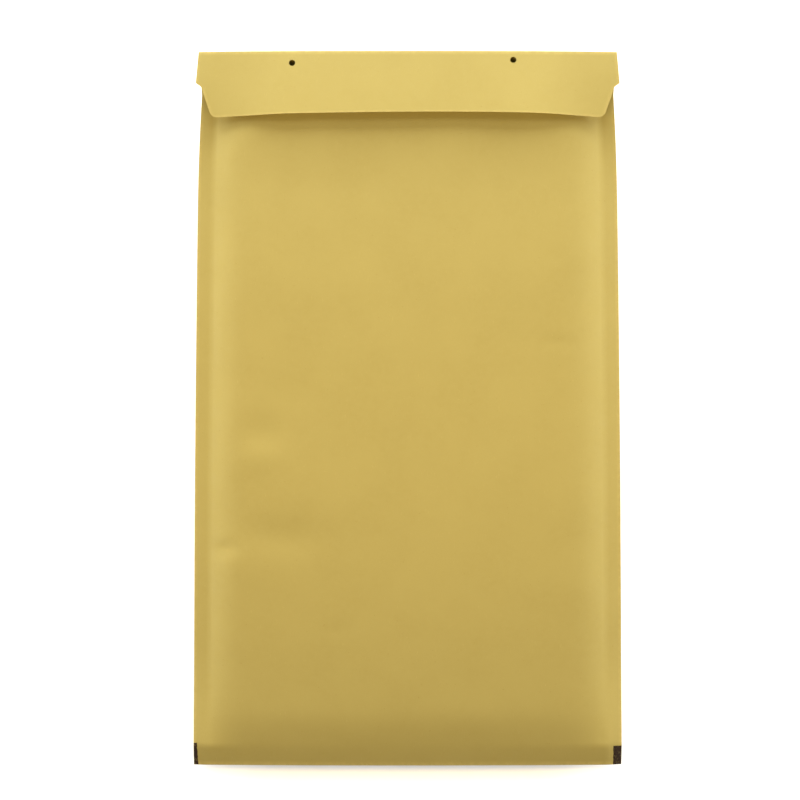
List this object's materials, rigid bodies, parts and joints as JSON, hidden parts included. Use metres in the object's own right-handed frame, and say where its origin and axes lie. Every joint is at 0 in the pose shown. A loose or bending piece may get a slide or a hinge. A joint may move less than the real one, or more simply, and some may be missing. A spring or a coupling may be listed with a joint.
{
  "type": "padded envelope",
  "caption": "Empty kraft padded envelope lying front up: flat welded margins round a puffy field, flap folded over the mouth, bubble lining inside",
  "frame": {"origin": "centre of the envelope's outline, at the height of the surface that its back panel lies on", "axes": "X across the envelope, +Y from the bottom fold to the flap's crease, +Z out of the front"},
  "size_m": [0.1525, 0.2542, 0.0159],
  "materials": {
    "kraft_paper": "golden brown kraft paper, slightly smoothed, matt",
    "bubble_film": "clear polyethylene bubble film, soft gloss",
    "adhesive": "pale tacky hot-melt glue band",
    "release_paper": "white silicone-coated release paper, satin"
  },
  "bodies": {
    "root": {"paper_envelope": "kraft_paper", "bubble_lining": "bubble_film", "adhesive_strip": "adhesive", "release_liner": "release_paper"}
  },
  "joints": []
}
